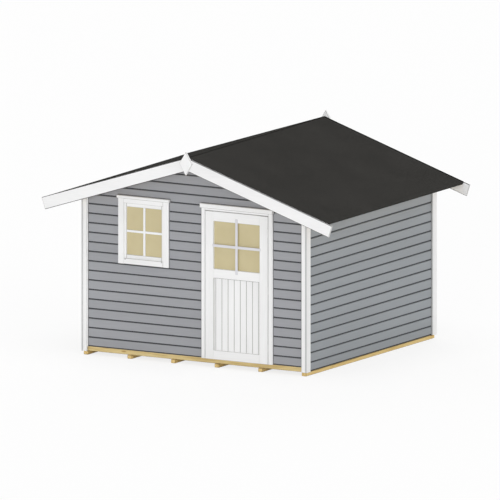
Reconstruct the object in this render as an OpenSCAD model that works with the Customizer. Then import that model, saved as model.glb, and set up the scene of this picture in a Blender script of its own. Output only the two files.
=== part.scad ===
// Timber garden shed: clad walls on joists, a pitched felt roof, a half-glazed door and one window.
// Millimetres. Z is up, the front faces -Y and the ground is at Z = 0.
// The origin lies on the ground, under the middle of the roof.

/* [Ground frame] */
// Width of each joist
joist_width = 60; // [45:1:90]
// Height of each joist
joist_height = 45; // [30:1:95]
// Number of joists, which run from front to back
joist_count = 6; // [4:1:9]
// Thickness of the floor
floor_thickness = 20; // [15:1:28]

/* [Walls] */
// Width over the outer faces of the side walls
wall_width = 3050; // [2900:10:3300]
// Depth over the outer faces of the front and back walls
wall_depth = 3050; // [2200:10:3600]
// Height of the side walls at their outer faces
wall_height = 2003; // [1960:1:2300]
// Distance from the top of the side walls down to the tops of the openings
head_drop = 113; // [90:1:180]
// Thickness of the cladding
cladding_thickness = 19; // [15:1:25]
// Depth of the sills, studs and plates behind the cladding
frame_depth = 45; // [35:1:70]
// Width of each stud
stud_width = 45; // [35:1:60]
// Height of the sills that the walls stand on
sill_height = 65; // [50:1:90]
// Number of studs in each side wall
side_stud_count = 6; // [4:1:8]

/* [Roof] */
// Slope of the roof in degrees
roof_pitch = 18; // [12:1:30]
// Length of the roof down each slope
roof_slope = 2000; // [1850:5:2060]
// Thickness of the roof boards
roof_board_thickness = 25; // [18:1:30]
// Thickness of the felt
felt_thickness = 5; // [3:1:8]
// Depth of the felt where it is folded over the eaves
felt_fold = 32; // [30:1:45]
// Distance from the front wall to the face of the front bargeboards
front_overhang = 195; // [60:5:300]
// Distance from the back wall to the face of the back bargeboards
back_overhang = 50; // [40:5:300]
// Width of the purlins under the roof boards
purlin_width = 60; // [45:1:80]
// Height of the purlins
purlin_height = 90; // [70:1:100]

/* [Bargeboards and finials] */
// Length of each bargeboard down the slope
barge_length = 2095; // [2065:5:2200]
// Width of the bargeboards
barge_width = 150; // [135:1:180]
// Thickness of the bargeboards
barge_thickness = 20; // [16:1:28]
// Width of the finials
finial_width = 172; // [120:1:220]
// Height of the finials
finial_height = 284; // [200:1:340]
// Thickness of the finials
finial_thickness = 28; // [18:1:40]
// Distance from the ridge down to the middle of each finial
finial_drop = 67; // [30:1:90]

/* [Trim] */
// Width of the corner boards
corner_board_width = 74; // [60:1:120]
// Thickness of the corner boards and casings
trim_thickness = 20; // [15:1:24]
// Depth of the caps over the door and window
cap_depth = 34; // [28:1:60]
// Distance that the caps reach past the casings at each end
cap_overhang = 15; // [5:1:30]
// Height of the tops of the caps over the openings
cap_rise = 80; // [65:1:100]

/* [Door] */
// Position of the middle of the door across the front
door_x = 582; // [540:1:640]
// Width of the door leaf
door_width = 861; // [760:1:900]
// Thickness of the door leaf
door_thickness = 34; // [30:1:34]
// Gap around the door leaf
door_gap = 5; // [5:1:8]
// Distance that the closed leaf laps over the studs behind it
door_lap = 15; // [8:1:25]
// Width of the stiles
door_stile = 116; // [90:1:130]
// Height of the bottom rail
door_bottom_rail = 111; // [90:1:180]
// Height of the middle rail
door_middle_rail = 114; // [90:1:150]
// Height of the top rail
door_top_rail = 118; // [90:1:150]
// Height of the door glass between the rails
door_glass_height = 573; // [400:1:800]
// Distance of the lower panel behind the face of the leaf
door_panel_recess = 18; // [8:1:20]
// Thickness of the lower panel
door_panel_thickness = 12; // [9:1:14]
// Width of the casings beside the door
door_casing = 49; // [40:1:80]
// Height of the cap over the door
door_cap_height = 53; // [30:1:56]

/* [Window] */
// Position of the middle of the window across the front
window_x = -697; // [-760:1:-640]
// Width of the sash
sash_width = 564; // [480:1:620]
// Height of the sash
sash_height = 689; // [500:1:900]
// Depth of the sash from front to back
sash_depth = 45; // [35:1:45]
// Width of the sash stiles
sash_stile = 42; // [32:1:60]
// Height of the sash rails
sash_rail = 56; // [40:1:70]
// Distance that the casings lap over the sash
sash_lap = 12; // [6:1:15]
// Width of the casings beside the window
window_casing = 75; // [50:1:100]
// Height of the casing under the window
window_bottom_casing = 68; // [50:1:100]
// Height of the cap over the window
window_cap_height = 36; // [25:1:50]
// Thickness of the glass in the door and window
glass_thickness = 4; // [3:1:6]

/* [Hinges] */
// Number of hinges on the door
hinge_count = 3; // [2:1:4]
// Height of each hinge
hinge_height = 90; // [60:1:120]
// Radius of the hinge barrels
barrel_radius = 7; // [6:0.5:9]
// Radius of the hinge pins
pin_radius = 4; // [3:0.5:4.5]
// Distance of the outer hinges from the ends of the leaf
hinge_inset = 200; // [120:5:300]

/* [Hidden] */
$fn = 48;

// Clearance of the pins in their barrels, and of the hinge parts from each other
pin_clearance = 0.05;
barrel_gap = 0.5;
hinge_plate = 2;
barrel_stand_off = 1;

// Hairline that keeps pieces that meet on the slope from biting into each other
seat_gap = 0.05;

// Laps of the cladding and of the door over the sill
cladding_lap = 8;
door_sill_lap = 10;

// Distance of the glass behind the face of the sash and of the leaf
sash_glass_recess = 12;
door_glass_recess = 20;

// Front and back faces of the walls, with the roof centred on Y = 0
roof_length = wall_depth + front_overhang + back_overhang;
front_y = front_overhang - roof_length / 2;
back_y = front_y + wall_depth;
deck_y = roof_length / 2 - barge_thickness;

// Layers of the walls across the shed
half_width = wall_width / 2;
wall_thickness = cladding_thickness + frame_depth;
frame_x = half_width - cladding_thickness;
inner_x = half_width - wall_thickness;
trim_x = half_width + trim_thickness;

// Levels
sill_top = joist_height + sill_height;
end_cladding_z = sill_top - cladding_lap;
door_bottom = sill_top - door_sill_lap;
opening_top = wall_height - head_drop;
door_top = opening_top - door_gap;
door_height = door_top - door_bottom;
middle_rail_top = door_top - door_top_rail - door_glass_height;
sash_bottom = opening_top - sash_height;
cap_top = opening_top + cap_rise;

// Roof planes
roof_thickness = roof_board_thickness + felt_thickness;
ridge_height = wall_height + half_width * tan(roof_pitch) + roof_thickness / cos(roof_pitch);
board_underside = ridge_height - roof_thickness / cos(roof_pitch) - seat_gap;
purlin_x = wall_width / 4;
plate_bottom = underside(frame_x) - stud_width;

// Position of the hinge axis
hinge_x = door_x + door_width / 2 + door_gap / 2;
hinge_y = front_y - trim_thickness - barrel_radius - barrel_stand_off;

cladding_colour = [0.61, 0.62, 0.64];
trim_colour = [0.94, 0.94, 0.94];
timber_colour = [0.85, 0.73, 0.50];
felt_colour = [0.23, 0.23, 0.22];
glass_colour = [0.78, 0.74, 0.59];
hinge_colour = [0.80, 0.80, 0.80];

// Height of what carries the roof boards at a distance x from the ridge
function underside(x) = board_underside - abs(x) * tan(roof_pitch);

// Point a distance along the right slope and a depth below the top of the felt
function slope_point(along, below) = [
    along * cos(roof_pitch) - below * sin(roof_pitch),
    ridge_height - along * sin(roof_pitch) - below * cos(roof_pitch)
];

// Point on the ridge line at a depth square to the slope
function ridge_point(below) = [0, ridge_height - below / cos(roof_pitch)];

// Lowest edge of a purlin whose outer side is at x
function purlin_bottom(x) = underside(x) - purlin_height;

module block(x0, x1, y0, y1, z0, z1) {
    translate([x0, y0, z0]) cube([x1 - x0, y1 - y0, z1 - z0]);
}

// An outline drawn in X and Z, carried from y0 to y1
module upright(y0, y1) {
    translate([0, y1, 0]) rotate([90, 0, 0]) linear_extrude(y1 - y0) children();
}

// A piece on the right, repeated on the left
module both_sides() {
    children();
    mirror([1, 0, 0]) children();
}

// A strip with upright sides and a top that follows the underside of the roof
module under_roof(x0, x1, z0) {
    polygon([[x0, z0], [x1, z0], [x1, underside(x1)], [x0, underside(x0)]]);
}

module ridge_purlin_outline() {
    half = purlin_width / 2;
    low = purlin_bottom(half);
    polygon([[-half, low], [half, low], [half, underside(half)], [0, underside(0)], [-half, underside(half)]]);
}

module side_purlin_outline() {
    inner = purlin_x - purlin_width / 2;
    outer = purlin_x + purlin_width / 2;
    under_roof(inner, outer, purlin_bottom(outer));
}

// A notch from z0 up past the roof, as wide as a purlin
module purlin_notch(x, z0) {
    translate([x - purlin_width / 2, z0]) square([purlin_width, purlin_height + purlin_width + 50]);
}

// The top of a front or back wall above the level z0, notched for the purlins
module gable_outline(z0) {
    difference() {
        polygon([
            [-half_width, z0], [half_width, z0], [half_width, underside(half_width)],
            [0, underside(0)], [-half_width, underside(half_width)]
        ]);
        purlin_notch(0, purlin_bottom(purlin_width / 2));
        purlin_notch(purlin_x, purlin_bottom(purlin_x + purlin_width / 2));
        purlin_notch(-purlin_x, purlin_bottom(purlin_x + purlin_width / 2));
    }
}

// A full-height stud in an end wall, up to the roof
module end_stud(x) {
    under_roof(x - stud_width / 2, x + stud_width / 2, sill_top);
}

// A post under a purlin, from z0 to z1
module purlin_post(x, z0, z1) {
    translate([x - stud_width / 2, z0]) square([stud_width, z1 - z0 - seat_gap]);
}

module floor_joists() {
    pitch = (wall_width - joist_width) / (joist_count - 1);
    color(timber_colour)
        for (i = [0 : joist_count - 1]) {
            left = i * pitch - half_width;
            block(left, left + joist_width, front_y, back_y, 0, joist_height);
        }
}

module floor_deck() {
    color(timber_colour)
        block(-inner_x, inner_x, front_y + wall_thickness, back_y - wall_thickness,
            joist_height, joist_height + floor_thickness);
}

module end_sills() {
    color(timber_colour) {
        block(-frame_x, frame_x, front_y + cladding_thickness, front_y + wall_thickness, joist_height, sill_top);
        block(-frame_x, frame_x, back_y - wall_thickness, back_y - cladding_thickness, joist_height, sill_top);
    }
}

module side_sills() {
    color(timber_colour) both_sides()
        block(inner_x, frame_x, front_y + wall_thickness, back_y - wall_thickness, joist_height, sill_top);
}

module front_panel(x0, x1, z0) {
    color(cladding_colour) block(x0, x1, front_y, front_y + cladding_thickness, z0, opening_top);
}

module front_wall_left() {
    front_panel(-half_width, window_x - sash_width / 2, end_cladding_z);
}

module front_wall_under_window() {
    color(cladding_colour)
        block(window_x - sash_width / 2, window_x + sash_width / 2, front_y, front_y + cladding_thickness,
            end_cladding_z, sash_bottom);
}

module front_wall_middle() {
    front_panel(window_x + sash_width / 2, door_x - door_width / 2 - door_gap, end_cladding_z);
}

module front_wall_right() {
    front_panel(door_x + door_width / 2 + door_gap, half_width, end_cladding_z);
}

module front_gable() {
    color(cladding_colour) upright(front_y, front_y + cladding_thickness) gable_outline(opening_top);
}

module back_wall() {
    color(cladding_colour) upright(back_y - cladding_thickness, back_y) gable_outline(end_cladding_z);
}

module right_wall() {
    color(cladding_colour)
        upright(front_y + cladding_thickness, back_y - cladding_thickness)
            under_roof(frame_x, half_width, joist_height);
}

module left_wall() {
    mirror([1, 0, 0]) right_wall();
}

module front_studs() {
    window_stud = sash_width / 2 + stud_width / 2;
    door_stud = door_width / 2 - door_lap + stud_width / 2;
    corner_stud = frame_x - stud_width / 2;
    post_top = purlin_bottom(purlin_x + purlin_width / 2);
    color(timber_colour)
        upright(front_y + cladding_thickness, front_y + wall_thickness) {
            both_sides() end_stud(corner_stud);
            end_stud(window_x - window_stud);
            end_stud(window_x + window_stud);
            end_stud(door_x - door_stud);
            end_stud(door_x + door_stud);
            purlin_post(0, sill_top, purlin_bottom(purlin_width / 2));
            purlin_post(-purlin_x, opening_top + stud_width, post_top);
            purlin_post(purlin_x, door_top - door_lap + stud_width, post_top);
        }
}

module front_trimmers() {
    y0 = front_y + cladding_thickness;
    y1 = front_y + wall_thickness;
    window_half = sash_width / 2;
    door_half = door_width / 2 - door_lap;
    door_head = door_top - door_lap;
    color(timber_colour) {
        block(window_x - window_half, window_x + window_half, y0, y1, opening_top, opening_top + stud_width);
        block(window_x - window_half, window_x + window_half, y0, y1, sash_bottom - stud_width, sash_bottom);
        block(door_x - door_half, door_x + door_half, y0, y1, door_head, door_head + stud_width);
    }
}

module back_studs() {
    corner_stud = frame_x - stud_width / 2;
    color(timber_colour)
        upright(back_y - wall_thickness, back_y - cladding_thickness) {
            both_sides() end_stud(corner_stud);
            both_sides() purlin_post(purlin_x, sill_top, purlin_bottom(purlin_x + purlin_width / 2));
            purlin_post(0, sill_top, purlin_bottom(purlin_width / 2));
        }
}

module side_studs() {
    first = front_y + wall_thickness;
    last = back_y - wall_thickness - stud_width;
    pitch = (last - first) / (side_stud_count - 1);
    color(timber_colour) both_sides()
        for (i = [0 : side_stud_count - 1]) {
            near = first + i * pitch;
            block(inner_x, frame_x, near, near + stud_width, sill_top, plate_bottom);
        }
}

module top_plates() {
    color(timber_colour) both_sides()
        upright(front_y + wall_thickness, back_y - wall_thickness)
            under_roof(inner_x, frame_x, plate_bottom);
}

module ridge_purlin() {
    color(timber_colour) upright(-deck_y, deck_y) ridge_purlin_outline();
}

module side_purlins() {
    color(timber_colour) both_sides() upright(-deck_y, deck_y) side_purlin_outline();
}

module roof_boards_right() {
    top = felt_thickness + seat_gap;
    end = roof_slope - seat_gap;
    color(timber_colour)
        upright(-deck_y, deck_y)
            polygon([
                ridge_point(top), ridge_point(roof_thickness),
                slope_point(end, roof_thickness), slope_point(end, top)
            ]);
}

module roof_boards_left() {
    mirror([1, 0, 0]) roof_boards_right();
}

module roof_felt_right() {
    edge = roof_slope + felt_thickness;
    color(felt_colour)
        upright(-deck_y, deck_y)
            polygon([
                ridge_point(0), ridge_point(felt_thickness), slope_point(roof_slope, felt_thickness),
                slope_point(roof_slope, felt_fold), slope_point(edge, felt_fold), slope_point(edge, 0)
            ]);
}

module roof_felt_left() {
    mirror([1, 0, 0]) roof_felt_right();
}

module barge_outline() {
    polygon([
        ridge_point(0), ridge_point(barge_width),
        slope_point(barge_length, barge_width), slope_point(barge_length, 0)
    ]);
}

module right_bargeboards() {
    color(trim_colour) {
        upright(-roof_length / 2, -deck_y) barge_outline();
        upright(deck_y, roof_length / 2) barge_outline();
    }
}

module left_bargeboards() {
    mirror([1, 0, 0]) right_bargeboards();
}

module finial() {
    middle = ridge_height - finial_drop;
    upright(0, finial_thickness)
        polygon([
            [0, middle - finial_height / 2], [finial_width / 2, middle],
            [0, middle + finial_height / 2], [-finial_width / 2, middle]
        ]);
}

module finials() {
    color(trim_colour) {
        translate([0, -roof_length / 2 - finial_thickness, 0]) finial();
        translate([0, roof_length / 2, 0]) finial();
    }
}

module end_corner_board() {
    under_roof(trim_x - corner_board_width, half_width, joist_height);
}

module front_corner_boards() {
    color(trim_colour) both_sides() upright(front_y - trim_thickness, front_y) end_corner_board();
}

module back_corner_boards() {
    color(trim_colour) both_sides() upright(back_y, back_y + trim_thickness) end_corner_board();
}

module right_corner_boards() {
    color(trim_colour) {
        upright(front_y - trim_thickness, front_y + corner_board_width)
            under_roof(half_width, trim_x, joist_height);
        upright(back_y - corner_board_width, back_y + trim_thickness)
            under_roof(half_width, trim_x, joist_height);
    }
}

module left_corner_boards() {
    mirror([1, 0, 0]) right_corner_boards();
}

// A flat board on the face of the front wall
module front_trim(x0, x1, z0, z1, depth = trim_thickness) {
    color(trim_colour) block(x0, x1, front_y - depth, front_y, z0, z1);
}

module window_side_casings() {
    half = sash_width / 2 - sash_lap;
    low = sash_bottom + sash_lap - window_bottom_casing;
    high = cap_top - window_cap_height;
    front_trim(window_x - half - window_casing, window_x - half, low, high);
    front_trim(window_x + half, window_x + half + window_casing, low, high);
}

module window_cross_casings() {
    half = sash_width / 2 - sash_lap;
    low = sash_bottom + sash_lap;
    front_trim(window_x - half, window_x + half, low - window_bottom_casing, low);
    front_trim(window_x - half, window_x + half, opening_top - sash_lap, cap_top - window_cap_height);
}

module window_cap() {
    half = sash_width / 2 - sash_lap + window_casing + cap_overhang;
    front_trim(window_x - half, window_x + half, cap_top - window_cap_height, cap_top, cap_depth);
}

module sash_stiles() {
    half = sash_width / 2;
    color(trim_colour) {
        block(window_x - half, window_x - half + sash_stile, front_y, front_y + sash_depth, sash_bottom, opening_top);
        block(window_x + half - sash_stile, window_x + half, front_y, front_y + sash_depth, sash_bottom, opening_top);
    }
}

module sash_rails() {
    half = sash_width / 2 - sash_stile;
    color(trim_colour) {
        block(window_x - half, window_x + half, front_y, front_y + sash_depth, sash_bottom, sash_bottom + sash_rail);
        block(window_x - half, window_x + half, front_y, front_y + sash_depth, opening_top - sash_rail, opening_top);
    }
}

module window_glass() {
    half = sash_width / 2 - sash_stile;
    near = front_y + sash_glass_recess;
    color(glass_colour)
        block(window_x - half, window_x + half, near, near + glass_thickness,
            sash_bottom + sash_rail, opening_top - sash_rail);
}

module door_side_casings() {
    half = door_width / 2 + door_gap;
    high = cap_top - door_cap_height;
    front_trim(door_x - half - door_casing, door_x - half, end_cladding_z, high);
    front_trim(door_x + half, door_x + half + door_casing, end_cladding_z, high);
}

module door_head_casing() {
    half = door_width / 2 + door_gap;
    front_trim(door_x - half, door_x + half, opening_top, cap_top - door_cap_height);
}

module door_cap() {
    half = door_width / 2 + door_gap + door_casing + cap_overhang;
    front_trim(door_x - half, door_x + half, cap_top - door_cap_height, cap_top, cap_depth);
}

// A member of the door leaf, through its full thickness
module leaf_member(x0, x1, z0, z1) {
    face = front_y - trim_thickness;
    color(trim_colour) block(x0, x1, face, face + door_thickness, z0, z1);
}

module door_stiles() {
    half = door_width / 2;
    leaf_member(door_x - half, door_x - half + door_stile, door_bottom, door_top);
    leaf_member(door_x + half - door_stile, door_x + half, door_bottom, door_top);
}

module door_rails() {
    half = door_width / 2 - door_stile;
    leaf_member(door_x - half, door_x + half, door_bottom, door_bottom + door_bottom_rail);
    leaf_member(door_x - half, door_x + half, middle_rail_top - door_middle_rail, middle_rail_top);
    leaf_member(door_x - half, door_x + half, door_top - door_top_rail, door_top);
}

module door_panel() {
    half = door_width / 2 - door_stile;
    near = front_y - trim_thickness + door_panel_recess;
    color(trim_colour)
        block(door_x - half, door_x + half, near, near + door_panel_thickness,
            door_bottom + door_bottom_rail, middle_rail_top - door_middle_rail);
}

module door_glass() {
    half = door_width / 2 - door_stile;
    near = front_y - trim_thickness + door_glass_recess;
    color(glass_colour)
        block(door_x - half, door_x + half, near, near + glass_thickness, middle_rail_top, door_top - door_top_rail);
}

// Middle heights of the hinges, evenly spread between the outer two
hinge_levels = [
    for (i = [0 : hinge_count - 1])
        door_bottom + hinge_inset + i * (door_height - 2 * hinge_inset) / (hinge_count - 1)
];

// Flat plate in the gap beside the leaf, with a tongue that reaches its barrel
module hinge_plate_part(x0, level, tongue_low, tongue_high) {
    x1 = x0 + hinge_plate;
    face = front_y - trim_thickness;
    block(x0, x1, face, face + door_thickness, level - hinge_height / 2, level + hinge_height / 2);
    block(x0, x1, hinge_y, face, tongue_low, tongue_high);
}

module frame_hinges() {
    plate_x = door_x + door_width / 2 + door_gap - hinge_plate;
    half = hinge_height / 2;
    color(hinge_colour)
        for (level = hinge_levels) {
            top = level - barrel_gap / 2;
            hinge_plate_part(plate_x, level, level - half, top);
            translate([hinge_x, hinge_y, level - half])
                cylinder(r = barrel_radius, h = half - barrel_gap / 2);
            translate([hinge_x, hinge_y, level - half])
                cylinder(r = pin_radius, h = hinge_height - 4);
        }
}

module door_hinges() {
    plate_x = door_x + door_width / 2;
    half = hinge_height / 2;
    color(hinge_colour)
        for (level = hinge_levels) {
            low = level + barrel_gap / 2;
            difference() {
                union() {
                    hinge_plate_part(plate_x, level, low, level + half);
                    translate([hinge_x, hinge_y, low]) cylinder(r = barrel_radius, h = half - barrel_gap / 2);
                }
                translate([hinge_x, hinge_y, low - 1])
                    cylinder(r = pin_radius + pin_clearance, h = half + 2);
            }
        }
}

floor_joists();
floor_deck();
end_sills();
side_sills();
front_wall_left();
front_wall_under_window();
front_wall_middle();
front_wall_right();
front_gable();
back_wall();
left_wall();
right_wall();
front_studs();
front_trimmers();
back_studs();
side_studs();
top_plates();
ridge_purlin();
side_purlins();
roof_boards_left();
roof_boards_right();
roof_felt_left();
roof_felt_right();
left_bargeboards();
right_bargeboards();
finials();
front_corner_boards();
back_corner_boards();
left_corner_boards();
right_corner_boards();
window_side_casings();
window_cross_casings();
window_cap();
sash_stiles();
sash_rails();
window_glass();
door_side_casings();
door_head_casing();
door_cap();
frame_hinges();
door_stiles();
door_rails();
door_panel();
door_glass();
door_hinges();
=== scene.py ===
import math
import random

import bmesh
import bpy
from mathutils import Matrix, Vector


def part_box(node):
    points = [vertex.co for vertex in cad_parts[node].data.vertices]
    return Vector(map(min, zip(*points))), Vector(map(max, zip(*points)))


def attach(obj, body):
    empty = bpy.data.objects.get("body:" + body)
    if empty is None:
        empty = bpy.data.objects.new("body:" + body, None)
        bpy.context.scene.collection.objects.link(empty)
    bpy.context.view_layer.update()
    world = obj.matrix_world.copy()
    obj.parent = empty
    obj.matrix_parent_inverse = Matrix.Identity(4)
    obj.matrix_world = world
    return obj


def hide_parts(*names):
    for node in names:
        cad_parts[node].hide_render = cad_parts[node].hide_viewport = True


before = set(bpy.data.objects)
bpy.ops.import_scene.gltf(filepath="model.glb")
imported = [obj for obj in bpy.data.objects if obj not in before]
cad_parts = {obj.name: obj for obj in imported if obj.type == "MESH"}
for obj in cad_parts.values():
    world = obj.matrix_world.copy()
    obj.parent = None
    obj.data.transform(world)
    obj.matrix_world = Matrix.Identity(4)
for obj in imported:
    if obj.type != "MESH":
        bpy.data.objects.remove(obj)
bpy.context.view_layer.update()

# Sizes are in metres, in the frame of the solids.
WELD = 1e-5
CUT_TOLERANCE = 1e-6
SEED = 7


# Measures taken from the solids

def corners_of(node):
    return [vert.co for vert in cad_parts[node].data.vertices]


def welded(node):
    """A new mesh with the shape of a node, its corners joined."""
    bm = bmesh.new()
    bm.from_mesh(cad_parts[node].data)
    bmesh.ops.remove_doubles(bm, verts=bm.verts[:], dist=WELD)
    return bm


def solid_ranges(node, axis):
    """Lowest and highest values along an axis, 0 to 2, of each separate solid of a node."""
    bm = welded(node)
    seen = set()
    ranges = set()
    for vert in bm.verts:
        if vert in seen:
            continue
        queue = [vert]
        values = []
        while queue:
            item = queue.pop()
            if item in seen:
                continue
            seen.add(item)
            values.append(item.co[axis])
            queue += [edge.other_vert(item) for edge in item.link_edges]
        ranges.add((round(min(values), 4), round(max(values), 4)))
    bm.free()
    return sorted(ranges)


def roof_pitch():
    """Slope of the roof, from the ridge to the eave of its felt."""
    corners = corners_of("roof_felt_right")
    ridge = max(corners, key=lambda corner: corner.z)
    eave = max(corners, key=lambda corner: corner.x)
    return math.atan2(ridge.z - eave.z, eave.x - ridge.x)


gable_low, gable_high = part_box("front_gable")
window_low, window_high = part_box("sash_stiles")
leaf_low, leaf_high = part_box("door_stiles")
FRONT = gable_low.y
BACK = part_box("back_wall")[1].y
HALF = gable_high.x
CLADDING = gable_high.y - FRONT
PITCH = roof_pitch()
DOOR_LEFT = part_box("front_wall_middle")[1].x
DOOR_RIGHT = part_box("front_wall_right")[0].x
OPENING_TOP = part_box("front_wall_left")[1].z
END_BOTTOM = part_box("front_wall_left")[0].z
SIDE_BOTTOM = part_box("right_wall")[0].z
SIDE_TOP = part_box("right_wall")[1].z - CLADDING * math.tan(PITCH)
SIDE_START = FRONT + CLADDING
SIDE_END = BACK - CLADDING
APEX_Z = SIDE_TOP + HALF * math.tan(PITCH)


def roof_under(distance):
    """Height of the underside of the roof at a distance from the middle."""
    return APEX_Z - distance * math.tan(PITCH)


def roof_half(height):
    """Half width of the gable at a height, with a little to spare for the cut."""
    spare = 0.001
    return min(HALF, (APEX_Z - height) / math.tan(PITCH) + spare)


# Places on the model: on each wall a depth behind its face, a height and a distance along it

def place_front(depth, height, along):
    return Vector((along, FRONT + depth, height))


def place_back(depth, height, along):
    return Vector((along, BACK - depth, height))


def place_right(depth, height, along):
    return Vector((HALF - depth, along, height))


def place_left(depth, height, along):
    return Vector((depth - HALF, along, height))


def place_level(x, z, along):
    """An outline in X and Z, carried along Y."""
    return Vector((x, along, z))


def place_standing(x, y, along):
    """An outline in X and Y, carried along Z."""
    return Vector((x, y, along))


# Material helpers

# Places of the colour sockets on a Mix node
COLOUR_A, COLOUR_B, COLOUR_RESULT = 6, 7, 2


def add_node(tree, kind, **inputs):
    """A new node with some of its inputs set."""
    node = tree.nodes.new(kind)
    for name, value in inputs.items():
        node.inputs[name].default_value = value
    return node


def start_material(name):
    material = bpy.data.materials.new(name)
    material.use_nodes = True
    tree = material.node_tree
    return material, tree, tree.nodes["Principled BSDF"]


def model_coords(tree):
    return tree.nodes.new("ShaderNodeTexCoord").outputs["Object"]


def stretched_coords(tree, axis, along, across):
    """Coordinates of the model, scaled by one factor along an axis and by another across it."""
    factors = [across, across, across]
    factors["XYZ".index(axis)] = along
    mapping = add_node(tree, "ShaderNodeMapping", Scale=factors)
    tree.links.new(model_coords(tree), mapping.inputs["Vector"])
    return mapping.outputs["Vector"]


def noise(tree, coords, scale, detail=2.0, distortion=0.0):
    node = add_node(tree, "ShaderNodeTexNoise", Scale=scale, Detail=detail, Distortion=distortion)
    tree.links.new(coords, node.inputs["Vector"])
    return node.outputs["Fac"]


def ramp(tree, source, stops):
    node = tree.nodes.new("ShaderNodeValToRGB")
    elements = node.color_ramp.elements
    while len(elements) < len(stops):
        elements.new(0.5)
    for element, (place, colour) in zip(elements, stops):
        element.position = place
        element.color = (*colour, 1.0)
    tree.links.new(source, node.inputs["Fac"])
    return node.outputs["Color"]


def multiply(tree, first, second, factor=1.0):
    node = tree.nodes.new("ShaderNodeMix")
    node.data_type = "RGBA"
    node.blend_type = "MULTIPLY"
    node.inputs["Factor"].default_value = factor
    tree.links.new(first, node.inputs[COLOUR_A])
    tree.links.new(second, node.inputs[COLOUR_B])
    return node.outputs[COLOUR_RESULT]


def add_bump(tree, shader, height, strength, distance):
    bump = add_node(tree, "ShaderNodeBump", Strength=strength, Distance=distance)
    tree.links.new(height, bump.inputs["Height"])
    tree.links.new(bump.outputs["Normal"], shader.inputs["Normal"])


def finish_shader(shader, roughness, specular):
    shader.inputs["Roughness"].default_value = roughness
    shader.inputs["Specular IOR Level"].default_value = specular


def grey(level):
    return (level, level, level)


def scaled(colour, factor):
    return tuple(channel * factor for channel in colour)


def tinted(colour, tint):
    return tuple(channel * share for channel, share in zip(colour, tint))


# Materials

def painted_wood(name, colour, axis, roughness, grain, toned=False):
    """Paint over planed softwood: faint grain, slow changes of tone and a per-board tone where asked."""
    material, tree, shader = start_material(name)
    fine_coords = stretched_coords(tree, axis, along=1.5, across=55.0)
    fine = noise(tree, fine_coords, scale=3.0, detail=5.0, distortion=0.4)
    slow_coords = stretched_coords(tree, axis, along=0.5, across=2.2)
    slow = noise(tree, slow_coords, scale=1.6, detail=3.0)
    base = ramp(tree, slow, [(0.30, scaled(colour, 0.955)), (0.70, scaled(colour, 1.03))])
    streaks = ramp(tree, fine, [(0.30, grey(0.955)), (0.62, grey(1.0))])
    colour_out = multiply(tree, base, streaks)
    if toned:
        tone = tree.nodes.new("ShaderNodeAttribute")
        tone.attribute_name = "tone"
        colour_out = multiply(tree, colour_out, tone.outputs["Color"])
    tree.links.new(colour_out, shader.inputs["Base Color"])
    spread = 0.06
    limits = {"To Min": roughness - spread, "To Max": roughness + spread}
    rough = add_node(tree, "ShaderNodeMapRange", **limits)
    tree.links.new(slow, rough.inputs["Value"])
    tree.links.new(rough.outputs["Result"], shader.inputs["Roughness"])
    shader.inputs["Specular IOR Level"].default_value = 0.3
    add_bump(tree, shader, fine, strength=grain, distance=0.0015)
    return material


def bare_timber(name, axis, tint=(1.0, 1.0, 1.0)):
    """Planed softwood: growth bands, fine streaks and scattered knots."""
    material, tree, shader = start_material(name)
    band_coords = stretched_coords(tree, axis, along=0.9, across=16.0)
    bands = noise(tree, band_coords, scale=2.2, detail=5.0, distortion=1.1)
    streak_coords = stretched_coords(tree, axis, along=2.0, across=120.0)
    streaks = noise(tree, streak_coords, scale=2.0, detail=3.0)
    wood = ramp(tree, bands, [
        (0.28, tinted((0.53, 0.365, 0.150), tint)),
        (0.46, tinted((0.67, 0.495, 0.230), tint)),
        (0.60, tinted((0.73, 0.560, 0.280), tint)),
        (0.75, tinted((0.61, 0.435, 0.192), tint)),
    ])
    fine = ramp(tree, streaks, [(0.32, grey(0.90)), (0.60, grey(1.0))])
    colour_out = multiply(tree, wood, fine)
    cells = add_node(tree, "ShaderNodeTexVoronoi", Scale=1.0)
    tree.links.new(stretched_coords(tree, axis, along=2.6, across=9.0), cells.inputs["Vector"])
    knots = ramp(tree, cells.outputs["Distance"], [
        (0.05, (0.42, 0.28, 0.16)), (0.10, (0.62, 0.48, 0.34)), (0.14, grey(1.0)),
    ])
    colour_out = multiply(tree, colour_out, knots, factor=0.85)
    tree.links.new(colour_out, shader.inputs["Base Color"])
    finish_shader(shader, roughness=0.68, specular=0.25)
    add_bump(tree, shader, streaks, strength=0.25, distance=0.001)
    return material


def mineral_felt(name, level=1.0):
    """Bitumen felt with fine mineral grains and slow changes of tone; level makes it darker or paler."""
    material, tree, shader = start_material(name)
    coords = model_coords(tree)
    grains = noise(tree, coords, scale=420.0)
    slow = noise(tree, coords, scale=1.7, detail=4.0)
    speckle = ramp(tree, grains, [
        (0.33, scaled((0.020, 0.0193, 0.0181), level)),
        (0.50, scaled((0.038, 0.0368, 0.0344), level)),
        (0.68, scaled((0.081, 0.0787, 0.0738), level)),
    ])
    tone = ramp(tree, slow, [(0.30, grey(0.90)), (0.70, grey(1.06))])
    tree.links.new(multiply(tree, speckle, tone), shader.inputs["Base Color"])
    finish_shader(shader, roughness=0.95, specular=0.0)
    add_bump(tree, shader, grains, strength=0.35, distance=0.0015)
    return material


def lit_interior_glass(name):
    """A pane painted with the tan of lit timber behind it, as painted light, with a faint film of dust."""
    material, tree, shader = start_material(name)
    dust = noise(tree, model_coords(tree), scale=6.0, detail=6.0)
    # Painted light: the tan stands for the lit bare timber inside, seen through the glass.
    interior_light_tint = ramp(tree, dust, [(0.25, (0.600, 0.518, 0.302)), (0.75, (0.640, 0.558, 0.337))])
    tree.links.new(interior_light_tint, shader.inputs["Base Color"])
    finish_shader(shader, roughness=0.12, specular=0.4)
    shader.inputs["Alpha"].default_value = 0.92
    return material


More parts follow.
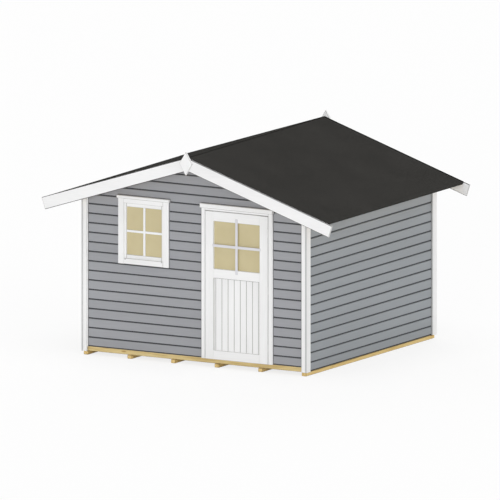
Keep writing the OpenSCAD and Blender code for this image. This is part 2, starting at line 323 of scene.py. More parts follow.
def painted_steel(name, colour, roughness):
    """Smooth paint with a fine mottle, which also makes the dark strips of painted shade beside the trim."""
    material, tree, shader = start_material(name)
    mottle = noise(tree, model_coords(tree), scale=180.0)
    colour_out = ramp(tree, mottle, [(0.3, scaled(colour, 0.93)), (0.7, colour)])
    tree.links.new(colour_out, shader.inputs["Base Color"])
    shader.inputs["Roughness"].default_value = roughness
    add_bump(tree, shader, mottle, strength=0.08, distance=0.0004)
    return material


def paints(name, colour, axes, roughness, grain):
    """One paint, with its grain along each of some axes."""
    return {axis: painted_wood(f"{name}_{axis}", colour, axis, roughness, grain) for axis in axes}


GREY_PAINT = (0.342, 0.348, 0.368)
# Painted shade: the side walls carry a cooler, darker copy of the front's grey paint, for the shading of the
# side.
SIDE_SHADED_GREY_PAINT = (0.327, 0.347, 0.366)
# Painted shade: near-black paint on the groove faces of the cladding and on the lowest board's drip rebate,
# for the shadow in the grooves.
GROOVE_SHADE_PAINT = (0.070, 0.073, 0.078)
WHITE_PAINT = (0.875, 0.875, 0.875)
# Painted shade: a greyer paint on the eased edges of the trim and the door, which darkens the joints between
# the pieces like shade in the gaps.
EDGE_SHADE_PAINT = (0.515, 0.510, 0.495)
# Painted shade: a darker grey on the eased edges of the front and back corner boards and on the left edge of
# the door's casings.
COVER_EDGE_SHADE_PAINT = (0.40, 0.405, 0.415)
# Painted shade: a grey on the narrow front and back faces and the eased edges of the side corner boards, as
# those faces are shaded.
END_SHADE_PAINT = (0.56, 0.562, 0.565)
# Painted shade: near-black paint on the long eased edges of the bargeboards and on the door rail's lower edge
# over the panel, as dark shadow lines.
DARK_LINE_SHADE_PAINT = (0.075, 0.074, 0.072)
# Painted shade: the door's glazing bars are a darker, bluer copy of the white paint, for their shading.
DOOR_BAR_SHADE_PAINT = (0.705, 0.70, 0.735)
# Painted light: the window's glazing bars are a paler, bluer copy of the white paint, to lift the shade of
# the window's recess.
WINDOW_BAR_LIT_PAINT = (0.885, 0.895, 0.915)
NAIL_PAINT = scaled(GREY_PAINT, 0.86)
# Painted shade: near-black strips beside the trim stand for the shadow lines where the trim meets the
# cladding.
SHADOW_LINE_COLOUR = (0.085, 0.087, 0.090)
HINGE_PAINT = (0.78, 0.78, 0.775)
DARK_STEEL = (0.06, 0.06, 0.062)
JOIST_TINT = (1.15, 1.13, 0.99)
SILL_TINT = (1.08, 1.14, 1.16)
# Painted shade: the eased edges of the joists and end sills are a much darker copy of the timber, as dark
# edge lines.
EDGE_SHADE_TINT = (0.42, 0.40, 0.38)
BITUMEN_LEVEL = 0.28

cladding_paint = {
    "X": painted_wood("cladding_paint_X", GREY_PAINT, "X", roughness=0.62, grain=0.30, toned=True),
    "Y": painted_wood("cladding_paint_Y", SIDE_SHADED_GREY_PAINT, "Y", roughness=0.62, grain=0.30, toned=True),
}
groove_shade_paint = paints("groove_shade_paint", GROOVE_SHADE_PAINT, "XY", roughness=0.75, grain=0.20)
white_paint = paints("white_paint", WHITE_PAINT, "XZ", roughness=0.42, grain=0.16)
edge_shade_paint = paints("edge_shade_paint", EDGE_SHADE_PAINT, "XZ", roughness=0.55, grain=0.16)
cover_edge_shade_paint = painted_wood("cover_edge_paint_Z", COVER_EDGE_SHADE_PAINT, "Z", roughness=0.55, grain=0.16)
end_shade_paint = painted_wood("end_shade_paint", END_SHADE_PAINT, "Z", roughness=0.55, grain=0.16)
dark_line_shade_paint = painted_wood("dark_line_shade_paint", DARK_LINE_SHADE_PAINT, "X", roughness=0.75, grain=0.20)
door_bar_shade_paint = paints("door_bar_shade_paint", DOOR_BAR_SHADE_PAINT, "XZ", roughness=0.38, grain=0.10)
window_bar_lit_paint = paints("window_bar_lit_paint", WINDOW_BAR_LIT_PAINT, "XZ", roughness=0.38, grain=0.10)
shadow_line_paint = painted_steel("shadow_line_paint", SHADOW_LINE_COLOUR, roughness=0.6)
timber = {axis: bare_timber(f"bare_timber_{axis}", axis) for axis in "XYZ"}
joist_timber = bare_timber("joist_timber", "Y", JOIST_TINT)
sill_timber = bare_timber("sill_timber", "X", SILL_TINT)
edge_shade_timber = {axis: bare_timber(f"edge_shade_timber_{axis}", axis, EDGE_SHADE_TINT) for axis in "XY"}
felt = mineral_felt("mineral_felt")
bitumen = mineral_felt("bitumen", BITUMEN_LEVEL)
glass = lit_interior_glass("lit_interior_glass")
hinge_steel = painted_steel("hinge_paint", HINGE_PAINT, roughness=0.4)
nail_paint = painted_steel("nail_paint", NAIL_PAINT, roughness=0.5)
dark_steel = painted_steel("dark_steel", DARK_STEEL, roughness=0.45)


# Mesh helpers

def make_object(name, bm, materials, body, replaced=()):
    """Turns a bmesh into a piece that rides on a body and may stand for some of the solids."""
    bmesh.ops.recalc_face_normals(bm, faces=bm.faces[:])
    mesh = bpy.data.meshes.new(name)
    bm.to_mesh(mesh)
    bm.free()
    for material in materials:
        mesh.materials.append(material)
    piece = bpy.data.objects.new(name, mesh)
    bpy.context.scene.collection.objects.link(piece)
    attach(piece, body)
    if replaced:
        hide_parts(*replaced)


def rings_to_faces(bm, rings, tags):
    """Closed surface through rings of corners; tags are the sides' materials, the first also the ends'."""
    count = len(rings[0])
    for near, far in zip(rings, rings[1:]):
        for i in range(count):
            j = (i + 1) % count
            face = bm.faces.new((near[i], near[j], far[j], far[i]))
            face.material_index = tags[i]
    for ring in (list(reversed(rings[0])), rings[-1]):
        face = bm.faces.new(ring)
        face.material_index = tags[0]


def prism(bm, outline, start, end, place, tags):
    """Carries an outline of (a, b) points from start to end; tags give each edge's material index."""
    rings = [[bm.verts.new(place(a, b, along)) for a, b in outline] for along in (start, end)]
    rings_to_faces(bm, rings, tags)


def rectangle(left, right, low, high):
    return [(left, low), (right, low), (right, high), (left, high)]


def ease_edges(bm, edges, width, segments, tag=-1):
    """Rounds edges off; tag is the new faces' material index, or -1 for that of the faces beside them."""
    bmesh.ops.bevel(bm, geom=edges, offset=width, segments=segments, profile=0.5, affect="EDGES",
                    clamp_overlap=True, material=tag)


def divide(bm, point, normal, clear_outer=False):
    """Divides a mesh at a plane, and cuts away what lies on the normal's side where asked."""
    geometry = bm.verts[:] + bm.edges[:] + bm.faces[:]
    return bmesh.ops.bisect_plane(bm, geom=geometry, plane_co=point, plane_no=normal,
                                  clear_outer=clear_outer, dist=CUT_TOLERANCE)


def cut(bm, point, normal):
    """Cuts away what lies on the normal's side of a plane and closes the cut."""
    result = divide(bm, point, normal, clear_outer=True)
    edges = [item for item in result["geom_cut"] if isinstance(item, bmesh.types.BMEdge)]
    open_edges = [edge for edge in edges if edge.is_valid and edge.is_boundary]
    if open_edges:
        bmesh.ops.contextual_create(bm, geom=open_edges)


def merge_into(target, source):
    mesh = bpy.data.meshes.new("part")
    source.to_mesh(mesh)
    source.free()
    target.from_mesh(mesh)
    bpy.data.meshes.remove(mesh)


def add_head(bm, place, height, along, rings, sides, tag):
    """A nail's or screw's round head on a wall, from (depth, radius) rings, the foot first."""
    loops = []
    for depth, radius in rings:
        loop = []
        for i in range(sides):
            angle = 2 * math.pi * i / sides
            rise = radius * math.sin(angle)
            loop.append(bm.verts.new(place(depth, height + rise, along + radius * math.cos(angle))))
        loops.append(loop)
    rings_to_faces(bm, loops, [tag] * sides)


SHARP_ANGLE = 0.3
FLAT_ANGLE = 0.01


def softened(node, width, materials, body, levels=(), retag=None):
    """A copy of a solid with its edges eased, which stands for the solid. The second material is the edges'.

    retag gives a face's material index from the face and its index so far, and levels are the heights at
    which the faces are divided for that.
    """
    bm = welded(node)
    bmesh.ops.dissolve_limit(bm, angle_limit=FLAT_ANGLE, verts=bm.verts[:], edges=bm.edges[:])
    for level in levels:
        divide(bm, (0, 0, level), (0, 0, 1))
    for face in bm.faces:
        face.material_index = 0
    sharp = [edge for edge in bm.edges if len(edge.link_faces) == 2 and edge.calc_face_angle() > SHARP_ANGLE]
    ease_edges(bm, sharp, width, segments=2, tag=min(1, len(materials) - 1))
    if retag:
        bm.normal_update()
        for face in bm.faces:
            face.material_index = retag(face, face.material_index)
    make_object(f"{node}_eased", bm, materials, body, [node])


# Cladding boards: cover, groove and the level of the first joint on the end and side walls

BOARD_COVER = 0.115
GROOVE_HALF = 0.0104
GROOVE_FLAT = 0.0072
GROOVE_DEPTH = 0.0095
BACK_EASE = 0.0025
DRIP_HEIGHT = 0.0135
JOINT_GAP = 0.0002
TONE_RANGE = (0.965, 1.03)
END_FIRST_JOINT = 0.1003
SIDE_FIRST_JOINT = 0.0390
# The least height of a board at the apex
LEAST_TIP = 0.01
# GROOVE marks the faces of the grooves, which take the painted shade of the grooves.
PAINT, GROOVE, BACKING, NAIL = 0, 1, 2, 3
BOARD_TAGS = [PAINT, GROOVE, PAINT, PAINT, PAINT, GROOVE, PAINT, BACKING, BACKING, BACKING]

# Nails: their heads, their places in a board and their distance from the edges of a wall
NAIL_RADIUS = 0.0038
NAIL_HEAD = [(0.001, NAIL_RADIUS), (-0.0008, NAIL_RADIUS)]
NAIL_SIDES = 8
NAIL_SHARES = (0.30, 0.72)
NAIL_MARGIN = 0.02
NAIL_EDGE = 0.06


def board_outline(low, high, foot):
    """Cross-section of one board from joint to joint, as (depth, height) points.

    It has a half groove at each edge. foot is the height of the flat of the lower one, which is more where
    the board has a drip edge.
    """
    inner = CLADDING - BACK_EASE
    slope = GROOVE_HALF - GROOVE_FLAT
    return [
        (inner, low), (GROOVE_DEPTH, low), (GROOVE_DEPTH, low + foot), (0.0, low + foot + slope),
        (0.0, high - GROOVE_HALF), (GROOVE_DEPTH, high - GROOVE_FLAT), (GROOVE_DEPTH, high), (inner, high),
        (CLADDING, high - BACK_EASE), (CLADDING, low + BACK_EASE),
    ]


def clad(name, place, spans, first_joint, bottom, top, planes, materials, replaced, nails):
    """Rows of boards on one wall. spans gives the stretches at a height as (start, end, low, high) tuples."""
    rng = random.Random(SEED + len(name))
    bm = bmesh.new()
    bm.loops.layers.float_color.new("tone")
    low = first_joint
    foot = bottom - first_joint + DRIP_HEIGHT
    while low < top:
        high = low + BOARD_COVER
        tone = rng.uniform(*TONE_RANGE)
        for start, end, floor, ceiling in spans(low, high):
            part = bmesh.new()
            layer = part.loops.layers.float_color.new("tone")
            outline = board_outline(low + JOINT_GAP, high - JOINT_GAP, foot)
            prism(part, outline, start, end, place, BOARD_TAGS)
            if floor > low:
                cut(part, place(0, floor, start), Vector((0, 0, -1)))
            if ceiling < high:
                cut(part, place(0, ceiling, start), Vector((0, 0, 1)))
            for point, normal in planes:
                cut(part, point, normal)
            for face in part.faces:
                for loop in face.loops:
                    loop[layer] = (tone, tone, tone, 1.0)
            merge_into(bm, part)
        low = high
        foot = GROOVE_FLAT
    for along, height in nails:
        add_head(bm, place, height, along, NAIL_HEAD, NAIL_SIDES, NAIL)
    make_object(name, bm, materials, "shed", replaced)


def front_spans(low, high):
    """Stretches of a row of front boards, left open at the window and the door."""
    below_ground = -1.0
    low_limit = max(low, END_BOTTOM)
    holes = [
        (window_low.x, window_high.x, window_low.z, window_high.z),
        (DOOR_LEFT, DOOR_RIGHT, below_ground, OPENING_TOP),
    ]
    stretches = []
    start = -HALF
    for left, right, floor, ceiling in holes:
        if ceiling <= low or floor >= high:
            continue
        stretches.append((start, left, low_limit, high))
        if floor > low:
            stretches.append((left + JOINT_GAP, right - JOINT_GAP, low_limit, floor))
        if ceiling < high:
            stretches.append((left + JOINT_GAP, right - JOINT_GAP, ceiling, high))
        start = right
    stretches.append((start, HALF, low_limit, high))
    return stretches


def back_spans(low, high):
    return [(-HALF, HALF, max(low, END_BOTTOM), high)]


def side_spans(low, high):
    return [(SIDE_START, SIDE_END, max(low, SIDE_BOTTOM), min(high, SIDE_TOP))]


def nail_rows(first_joint, bottom, top):
    """Heights of the nails: two in each board."""
    heights = []
    joint = first_joint
    while joint < top:
        for share in NAIL_SHARES:
            height = joint + BOARD_COVER * share
            if bottom + NAIL_MARGIN < height < top - NAIL_MARGIN:
                heights.append(height)
        joint += BOARD_COVER
    return heights


def stud_middles(node, axis):
    return sorted({(low + high) / 2 for low, high in solid_ranges(node, axis)})


def covered_by(casing):
    """The stretch of the front wall that a casing and its cap cover, as (left, right, low, high)."""
    beside, below, above = 0.02, 0.01, 0.07
    low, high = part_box(casing)
    return (low.x - beside, high.x + beside, low.z - below, high.z + above)


def end_nails(studs, covered=()):
    """Nails of the front or back wall along its studs, except at the corners and where trim covers them."""
    nails = []
    for x in stud_middles(studs, 0):
        if abs(x) > HALF - NAIL_EDGE:
            continue
        for z in nail_rows(END_FIRST_JOINT, END_BOTTOM, APEX_Z):
            hidden = any(left < x < right and low < z < high for left, right, low, high in covered)
            if not hidden and abs(x) < roof_half(z) - NAIL_EDGE:
                nails.append((x, z))
    return nails


def side_nails():
    heights = nail_rows(SIDE_FIRST_JOINT, SIDE_BOTTOM, SIDE_TOP)
    return [(y, z) for y in stud_middles("side_studs", 1)[1:-1] for z in heights]


end_materials = [cladding_paint["X"], groove_shade_paint["X"], timber["X"], nail_paint]
side_materials = [cladding_paint["Y"], groove_shade_paint["Y"], timber["Y"], nail_paint]
front_nodes = [
    "front_wall_left", "front_wall_under_window", "front_wall_middle", "front_wall_right", "front_gable",
]
front_trim = [covered_by("window_side_casings"), covered_by("door_side_casings")]
apex = Vector((0, 0, APEX_Z))
gable_planes = [(apex, Vector((side * math.sin(PITCH), 0, math.cos(PITCH)))) for side in (1, -1)]
gable_top = APEX_Z - LEAST_TIP

clad("front_cladding", place_front, front_spans, END_FIRST_JOINT, END_BOTTOM, gable_top, gable_planes,
     end_materials, front_nodes, end_nails("front_studs", front_trim))
clad("back_cladding", place_back, back_spans, END_FIRST_JOINT, END_BOTTOM, gable_top, gable_planes,
     end_materials, ["back_wall"], end_nails("back_studs"))
clad("right_cladding", place_right, side_spans, SIDE_FIRST_JOINT, SIDE_BOTTOM, SIDE_TOP, [],
     side_materials, ["right_wall"], side_nails())
clad("left_cladding", place_left, side_spans, SIDE_FIRST_JOINT, SIDE_BOTTOM, SIDE_TOP, [],
     side_materials, ["left_wall"], side_nails())


# Floor and roof boards, with the felt

FLOOR_BOARDS = 25
FLOOR_EASE = 0.002
ROOF_BOARDS = 34
ROOF_EASE = 0.0025
FELT_EASE = 0.0022
ON_END = 1e-4


def node_outline(node):
    """The outline of a solid that runs from front to back, in order round its middle."""
    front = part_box(node)[0].y
    ends = [corner for corner in corners_of(node) if abs(corner.y - front) < ON_END]
    points = sorted({(round(corner.x, 6), round(corner.z, 6)) for corner in ends})
    middle_x = sum(x for x, z in points) / len(points)
    middle_z = sum(z for x, z in points) / len(points)
    return sorted(points, key=lambda point: math.atan2(point[1] - middle_z, point[0] - middle_x))


def row_of_boards(name, node, count, ease):
    """A slab as separate boards side by side from front to back, with eased edges that show as joints."""
    low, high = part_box(node)
    outline = node_outline(node)
    width = (high.y - low.y) / count
    bm = bmesh.new()
    for i in range(count):
        part = bmesh.new()
        near = low.y + i * width + JOINT_GAP
        far = low.y + (i + 1) * width - JOINT_GAP
        prism(part, outline, near, far, place_level, [0] * len(outline))
        bmesh.ops.recalc_face_normals(part, faces=part.faces[:])
        ease_edges(part, part.edges[:], ease, segments=1)
        merge_into(bm, part)
    make_object(name, bm, [timber["X"]], "shed", [node])


row_of_boards("floor_boards", "floor_deck", FLOOR_BOARDS, FLOOR_EASE)
for side in ("left", "right"):
    row_of_boards(f"roof_planks_{side}", f"roof_boards_{side}", ROOF_BOARDS, ROOF_EASE)
    softened(f"roof_felt_{side}", FELT_EASE, [felt], "shed")


# Bitumen seams of the felt at the ridge and along both verges

RIDGE_SEAM = 0.008
VERGE_SEAM = 0.013
SEAM_RISE = 0.0012
BACK_SEAM_RISE = 0.0065
SEAM_SINK = 0.0006
ON_FELT = 2e-4


def seam_outline(start, end, rise):
    """Cross-section of a seam as (across, out) points."""
    return [(start, -SEAM_SINK), (end, -SEAM_SINK), (end - SEAM_RISE, rise), (start + SEAM_RISE, rise)]


def add_seams(bm, node, side):
    """Seams on one slope; side is -1 on the left and 1 on the right."""
    felt_low, felt_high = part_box(node)
    down = Vector((side * math.cos(PITCH), 0, -math.sin(PITCH)))
    outward = Vector((side * math.sin(PITCH), 0, math.cos(PITCH)))
    ridge = Vector((0, 0, felt_high.z))
    on_top = [corner for corner in corners_of(node) if abs((corner - ridge).dot(outward)) < ON_FELT]
    length = max((corner - ridge).dot(down) for corner in on_top)

    def along_ridge(across, out, along):
        return ridge + down * across + outward * out + Vector((0, along, 0))

    def down_slope(across, out, along):
        return ridge + down * along + outward * out + Vector((0, across, 0))

    tags = [0] * 4
    back = felt_high.y - VERGE_SEAM
    prism(bm, seam_outline(0, RIDGE_SEAM, SEAM_RISE), felt_low.y, felt_high.y, along_ridge, tags)
    for start, top, rise in ((felt_low.y, RIDGE_SEAM, SEAM_RISE), (back, 0, BACK_SEAM_RISE)):
        prism(bm, seam_outline(start, start + VERGE_SEAM, rise), top, length, down_slope, tags)


seams = bmesh.new()
add_seams(seams, "roof_felt_left", -1)
add_seams(seams, "roof_felt_right", 1)
make_object("felt_seams", seams, [bitumen], "shed")


# Framing

TIMBER_EASE = 0.002
BASE_EASE = 0.0045

# The eased edges of the joists and end sills take the darker timber, as painted shade.
softened("floor_joists", BASE_EASE, [joist_timber, edge_shade_timber["Y"]], "shed")
softened("end_sills", BASE_EASE, [sill_timber, edge_shade_timber["X"]], "shed")
softened("front_trimmers", TIMBER_EASE, [timber["X"]], "shed")
for node in ("side_sills", "top_plates", "ridge_purlin", "side_purlins"):
    softened(node, TIMBER_EASE, [timber["Y"]], "shed")
for node in ("front_studs", "back_studs", "side_studs"):
    softened(node, TIMBER_EASE, [timber["Z"]], "shed")


# Trim and joinery

TRIM_EASE = 0.0038
COVER_EASE = 0.0022
BARGE_EASE = 0.0070
# Share of a face's normal that counts as looking one way
SHARE = 0.1

# The second paint, on the eased edges, is painted shade.
trim_paint = {axis: [white_paint[axis], edge_shade_paint[axis]] for axis in "XZ"}
cover_paint = [white_paint["Z"], cover_edge_shade_paint]
side_board_paint = [white_paint["Z"], end_shade_paint]
# The third material is for dark edges of painted shade.
EDGE_DARK = 2
dark_edged_paint = trim_paint["X"] + [dark_line_shade_paint]
rail_ranges = solid_ranges("door_rails", 2)
rail_levels = [level for limits in rail_ranges for level in limits][1:-1]
leaf_middle = (leaf_low.x + leaf_high.x) / 2


def side_board_tag(face, index):
    """The narrow faces of the side corner boards, which look to the front and back, are greyer with painted
    shade.
    """
    return 1 if abs(face.normal.y) > 1 - SHARE else index


def casing_tag(face, index):
    """Only the left edge of the door's casings is dark, with painted shade."""
    outer = face.calc_center_median().x < leaf_low.x
    return index if outer and face.normal.x < -SHARE else 0


def barge_tag(side):
    """A bargeboard's long edges are dark with painted shade, its ends are not; side is -1 on the left and 1
    on the right.
    """
    along = Vector((math.cos(PITCH), 0, -side * math.sin(PITCH)))

    def tag(face, index):
        return EDGE_DARK if index and abs(face.normal.dot(along)) < SHARE else index

    return tag


def stile_tag(face, index):
    """Where a rail joins a stile, the paint has filled the joint."""
    centre = face.calc_center_median()
    inward = face.normal.x if centre.x < leaf_middle else -face.normal.x
    joint = any(low < centre.z < high for low, high in rail_ranges)
    return 0 if inward > SHARE and joint else index


def rail_tag(face, index):
    """The rails' ends and the top of the leaf are all white, and the lower edge over the panel is dark with
    painted shade.
    """
    height = face.calc_center_median().z
    if abs(face.normal.x) > SHARE or height > leaf_high.z - 2 * TRIM_EASE:
        return 0
    over_panel = abs(height - rail_ranges[1][0]) < 2 * TRIM_EASE
    return EDGE_DARK if index and over_panel else index


# The eased edges of the front and back corner boards take the darker cover paint, as painted shade.
for node in ("front_corner_boards", "back_corner_boards"):
    softened(node, COVER_EASE, cover_paint, "shed")
for node in ("left_corner_boards", "right_corner_boards"):
    softened(node, COVER_EASE, side_board_paint, "shed", retag=side_board_tag)
softened("window_side_casings", COVER_EASE, [white_paint["Z"]], "shed")
softened("door_side_casings", TRIM_EASE, cover_paint, "shed", retag=casing_tag)
for node in ("finials", "sash_stiles"):
    softened(node, TRIM_EASE, trim_paint["Z"], "shed")
for node, side in (("left_bargeboards", -1), ("right_bargeboards", 1)):
    softened(node, BARGE_EASE, dark_edged_paint, "shed", retag=barge_tag(side))
for node in ("window_cross_casings", "window_cap", "door_head_casing", "door_cap", "sash_rails"):
    softened(node, TRIM_EASE, trim_paint["X"], "shed")
softened("door_stiles", TRIM_EASE, trim_paint["Z"], "door", rail_levels, stile_tag)
softened("door_rails", TRIM_EASE, dark_edged_paint, "door", retag=rail_tag)


# Glass and hinges keep their solids and get new finishes.

def refinish(node, material):
    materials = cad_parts[node].data.materials
    materials.clear()
    materials.append(material)


for node in ("window_glass", "door_glass"):
    refinish(node, glass)
for node in ("frame_hinges", "door_hinges"):
    refinish(node, hinge_steel)


# Boards of the door's lower panel

PANEL_COVER = 0.084
PANEL_BOARDS = 7
PANEL_EASE = 0.0043


def make_panel():
    """Whole boards about the middle of the panel, with a cut one at each side."""
    low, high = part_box("door_panel")
    first = (low.x + high.x) / 2 - PANEL_COVER * PANEL_BOARDS / 2
    edges = [low.x] + [first + k * PANEL_COVER for k in range(PANEL_BOARDS + 1)] + [high.x]
    bm = bmesh.new()
    for left, right in zip(edges, edges[1:]):
        part = bmesh.new()
        outline = rectangle(left + JOINT_GAP, right - JOINT_GAP, low.y, high.y)
        prism(part, outline, low.z, high.z, place_standing, [0] * 4)
        bmesh.ops.recalc_face_normals(part, faces=part.faces[:])
        upright = [edge for edge in part.edges if edge.verts[0].co.xy == edge.verts[1].co.xy]
        # The V-joints between the boards take the darker edge paint, as painted shade.
        ease_edges(part, upright, PANEL_EASE, segments=1, tag=1)
        merge_into(bm, part)
    make_object("door_panel_boards", bm, trim_paint["Z"], "door", ["door_panel"])


make_panel()


# Glazing bars

BAR_EASE = 0.0020
LEVEL_SET_BACK = 0.0005
UPRIGHT, LEVEL = 0, 1

WINDOW_BAR = 0.027
WINDOW_BAR_RECESS = 0.001
WINDOW_CROSS = (0.001, -0.004)

DOOR_BAR = 0.033
DOOR_BAR_LAP = 0.016
DOOR_BAR_RISE = 0.048
DOOR_BAR_PROUD = 0.005
DOOR_CROSS = (0.001, -0.006)


def bar(bm, left, right, near, far, low, high, tag):
    """A straight bar with eased edges; tag is its material index."""
    part = bmesh.new()
    prism(part, rectangle(left, right, low, high), near, far, place_level, [tag] * 4)
    bmesh.ops.recalc_face_normals(part, faces=part.faces[:])
    ease_edges(part, part.edges[:], BAR_EASE, segments=2, tag=tag)
    merge_into(bm, part)


def cross_bars(name, pane, shift, reach, width, near, far, paint, body):
    """An upright bar and two level ones, a little behind its face, that cross over a pane.

    shift moves the crossing from the middle of the pane and reach is how far the bars go past the pane, each
    across and up; near and far are the front and back of the bars.
    """
    low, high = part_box(pane)
    half = width / 2
    cross_x = (low.x + high.x) / 2 + shift[0]
    cross_z = (low.z + high.z) / 2 + shift[1]
    bm = bmesh.new()
    bar(bm, cross_x - half, cross_x + half, near, far, low.z - reach[1], high.z + reach[1], UPRIGHT)
    for left, right in ((low.x - reach[0], cross_x - half), (cross_x + half, high.x + reach[0])):
        bar(bm, left, right, near + LEVEL_SET_BACK, far, cross_z - half, cross_z + half, LEVEL)
    make_object(name, bm, [paint["Z"], paint["X"]], body)


cross_bars("window_bars", "window_glass", WINDOW_CROSS, (0, 0), WINDOW_BAR, FRONT + WINDOW_BAR_RECESS,
           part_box("window_glass")[0].y, window_bar_lit_paint, "shed")
cross_bars("door_bars", "door_glass", DOOR_CROSS, (DOOR_BAR_LAP, DOOR_BAR_RISE), DOOR_BAR,
           leaf_low.y - DOOR_BAR_PROUD, leaf_low.y, door_bar_shade_paint, "door")


# Dark strips of painted shade where the trim meets the cladding

BEAD_RISE = 0.0022
BEAD_SINK = 0.0006
BEAD_SHOULDER = 0.7
SHOULDER_RISE = 0.55
CASING_BEAD = 0.0075
DOOR_BEAD = 0.0080
CORNER_BEAD = 0.0080
DOOR_FILLET = 0.0060
CORNER_FILLET = 0.0080
FILLET_RISE = 0.0050
DARK, WHITE = 0, 1
LEFT, RIGHT, UP, DOWN = (-1, 0), (1, 0), (0, 1), (0, -1)


def bead(bm, place, start, end, inward, near=0.0, far=CASING_BEAD, rise=BEAD_RISE, tag=DARK):
    """A strip along a straight line on a wall, on one side of the line: a dark line of painted shade, unless
    tag makes it white.

    start and end are (along, height) points of the wall, and inward points from the line to the open side,
    where the strip reaches from near to far.
    """
    shoulder = near + (far - near) * BEAD_SHOULDER
    section = [(BEAD_SINK, near), (-rise, near), (-rise * SHOULDER_RISE, shoulder), (BEAD_SINK, far)]
    rings = []
    for along, height in (start, end):
        ring = []
        for depth, away in section:
            ring.append(bm.verts.new(place(depth, height + away * inward[1], along + away * inward[0])))
        rings.append(ring)
    rings_to_faces(bm, rings, [tag] * len(section))


def filled_bead(bm, place, start, end, inward, fillet, width):
    """A painted fillet against the trim with a dark strip of painted shade beside it."""
    bead(bm, place, start, end, inward, 0.0, fillet, FILLET_RISE, WHITE)
    bead(bm, place, start, end, inward, fillet - BEAD_SINK, fillet + width)


def shadow_line_cap(bm, cap):
    low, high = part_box(cap)
    bead(bm, place_front, (low.x, low.z), (low.x, high.z), LEFT)
    bead(bm, place_front, (high.x, low.z), (high.x, high.z), RIGHT)
    bead(bm, place_front, (low.x, high.z), (high.x, high.z), UP)


def shadow_line_window(bm):
    low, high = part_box("window_side_casings")
    for x, side in ((low.x, LEFT), (high.x, RIGHT)):
        bead(bm, place_front, (x, low.z), (x, high.z), side)
    bead(bm, place_front, (low.x, low.z), (high.x, low.z), DOWN)
    shadow_line_cap(bm, "window_cap")


def shadow_line_door(bm):
    low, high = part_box("door_side_casings")
    for x, side in ((low.x, LEFT), (high.x, RIGHT)):
        filled_bead(bm, place_front, (x, low.z), (x, high.z), side, DOOR_FILLET, DOOR_BEAD)
    shadow_line_cap(bm, "door_cap")


def shadow_line_corners(bm):
    edge = solid_ranges("front_corner_boards", 0)[1][0]
    top = roof_under(edge)
    for place in (place_front, place_back):
        for x, side in ((edge, LEFT), (-edge, RIGHT)):
            filled_bead(bm, place, (x, END_BOTTOM), (x, top), side, CORNER_FILLET, CORNER_BEAD)
    front_board, back_board = solid_ranges("right_corner_boards", 1)
    for place in (place_left, place_right):
        for y, side in ((front_board[1], RIGHT), (back_board[0], LEFT)):
            bead(bm, place, (y, SIDE_BOTTOM), (y, SIDE_TOP), side)


beads = bmesh.new()
shadow_line_window(beads)
shadow_line_door(beads)
shadow_line_corners(beads)
make_object("trim_fillets_and_shadow_lines", beads, [shadow_line_paint, white_paint["Z"]], "shed")


# Screws at the ends of the casing under the window

SCREW_INSET = 0.0215
SCREW_RADIUS = 0.0050
SCREW_SIDES = 12
# Rings of the domed head, as heights over the casing and shares of the radius
SCREW_RINGS = [(0.0, 1.0), (0.0012, 0.92), (0.0022, 0.55)]


def make_screws():
    low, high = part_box("window_cross_casings")
    face = low.y - FRONT
    head = [(face - rise, SCREW_RADIUS * share) for rise, share in SCREW_RINGS]
    bm = bmesh.new()
    for x in (low.x + SCREW_INSET, high.x - SCREW_INSET):
        add_head(bm, place_front, window_low.z, x, head, SCREW_SIDES, 0)
    make_object("casing_screws", bm, [dark_steel], "shed")


make_screws()


# Stage and light

FLOOR_REACH = 60.0
FLOOR_DROP = 0.0005
FLOOR_SHADE = 0.95
FLOOR_GLOW = 0.80
AMBIENT = 0.47
WHITE_LIGHT = (1.0, 1.0, 1.0, 1.0)


def seen_plainly(tree):
    """1 for what the camera sees, straight on or in gloss or glass, and 0 for what lights the scene."""
    path = tree.nodes.new("ShaderNodeLightPath")
    result = path.outputs["Is Camera Ray"]
    for name in ("Is Glossy Ray", "Is Transmission Ray"):
        larger = tree.nodes.new("ShaderNodeMath")
        larger.operation = "MAXIMUM"
        tree.links.new(result, larger.inputs[0])
        tree.links.new(path.outputs[name], larger.inputs[1])
        result = larger.outputs["Value"]
    return result


def blend_shaders(tree, share, first, second, output):
    """Links a mix of two shaders to a new output node."""
    out = tree.nodes.new(output)
    mix = tree.nodes.new("ShaderNodeMixShader")
    tree.links.new(share, mix.inputs["Fac"])
    tree.links.new(first, mix.inputs[1])
    tree.links.new(second, mix.inputs[2])
    tree.links.new(mix.outputs["Shader"], out.inputs["Surface"])


def make_stage():
    """A wide pale floor that shows mostly as white and keeps the shadow."""
    bm = bmesh.new()
    corners = rectangle(-FLOOR_REACH, FLOOR_REACH, -FLOOR_REACH, FLOOR_REACH)
    bm.faces.new([bm.verts.new((x, y, -FLOOR_DROP)) for x, y in corners])
    mesh = bpy.data.meshes.new("studio_floor")
    bm.to_mesh(mesh)
    bm.free()
    floor = bpy.data.objects.new("studio_floor", mesh)
    bpy.context.scene.collection.objects.link(floor)
    material = bpy.data.materials.new("studio_floor")
    material.use_nodes = True
    tree = material.node_tree
    tree.nodes.clear()
    diffuse = add_node(tree, "ShaderNodeBsdfDiffuse", Color=(*grey(FLOOR_SHADE), 1.0))
    glow = add_node(tree, "ShaderNodeEmission", Color=WHITE_LIGHT, Strength=1.0)
    share = tree.nodes.new("ShaderNodeMath")
    share.operation = "MULTIPLY"
    share.inputs[1].default_value = FLOOR_GLOW
    tree.links.new(seen_plainly(tree), share.inputs[0])
    blend_shaders(tree, share.outputs["Value"], diffuse.outputs["BSDF"], glow.outputs["Emission"],
                  "ShaderNodeOutputMaterial")
    mesh.materials.append(material)


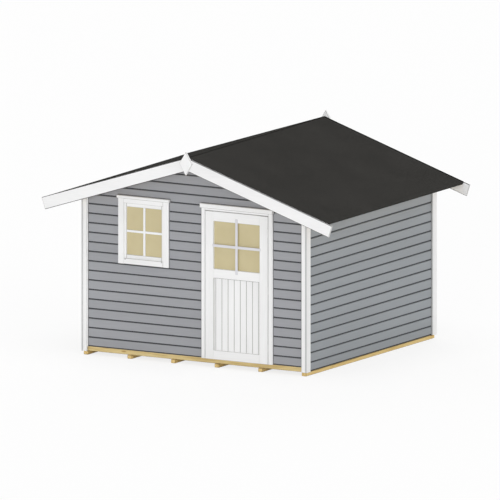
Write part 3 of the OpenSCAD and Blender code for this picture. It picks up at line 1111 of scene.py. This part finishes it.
def make_world():
    """Even light from all round, and a white background."""
    world = bpy.data.worlds.new("studio")
    bpy.context.scene.world = world
    world.use_nodes = True
    tree = world.node_tree
    tree.nodes.clear()
    light = add_node(tree, "ShaderNodeBackground", Color=WHITE_LIGHT, Strength=AMBIENT)
    white = add_node(tree, "ShaderNodeBackground", Color=WHITE_LIGHT, Strength=1.0)
    blend_shaders(tree, seen_plainly(tree), light.outputs["Background"], white.outputs["Background"],
                  "ShaderNodeOutputWorld")


def direction(azimuth, elevation):
    """Direction from the object, with azimuth 0 to the front and 90 to the right; both angles in degrees."""
    a = math.radians(azimuth)
    e = math.radians(elevation)
    return Vector((math.sin(a) * math.cos(e), -math.cos(a) * math.cos(e), math.sin(e)))


def make_sun(name, azimuth, elevation, strength, spread):
    """A soft sun in one direction; spread is its width in degrees."""
    data = bpy.data.lights.new(name, "SUN")
    data.energy = strength
    data.angle = math.radians(spread)
    lamp = bpy.data.objects.new(name, data)
    lamp.rotation_mode = "QUATERNION"
    lamp.rotation_quaternion = direction(azimuth, elevation).to_track_quat("Z", "Y")
    bpy.context.scene.collection.objects.link(lamp)


make_stage()
make_world()
make_sun("top_light", azimuth=20, elevation=84, strength=1.08, spread=50)
make_sun("front_light", azimuth=14, elevation=3, strength=1.25, spread=30)
make_sun("side_light", azimuth=80, elevation=8, strength=0.72, spread=40)
make_sun("back_light", azimuth=215, elevation=20, strength=0.95, spread=60)


# Camera: a parallel view from the front and right

AZIMUTH = 30
ELEVATION = 10
# Pixels a metre in the photo, and the photo's width in pixels
PHOTO_SCALE = 84.2
PHOTO_SIZE = 500
TARGET_RIGHT = -0.0719
TARGET_UP = 1.1521
CAMERA_DISTANCE = 30.0
CLIP_END = 200.0


def make_camera():
    back = direction(AZIMUTH, ELEVATION)
    right = direction(AZIMUTH + 90, 0)
    up = back.cross(right)
    data = bpy.data.cameras.new("camera")
    data.type = "ORTHO"
    data.ortho_scale = PHOTO_SIZE / PHOTO_SCALE
    data.clip_end = CLIP_END
    camera = bpy.data.objects.new("camera", data)
    camera.location = right * TARGET_RIGHT + up * TARGET_UP + back * CAMERA_DISTANCE
    camera.rotation_mode = "QUATERNION"
    camera.rotation_quaternion = (-back).to_track_quat("-Z", "Y")
    bpy.context.scene.collection.objects.link(camera)
    bpy.context.scene.camera = camera


make_camera()
bpy.context.scene.view_settings.view_transform = "Standard"
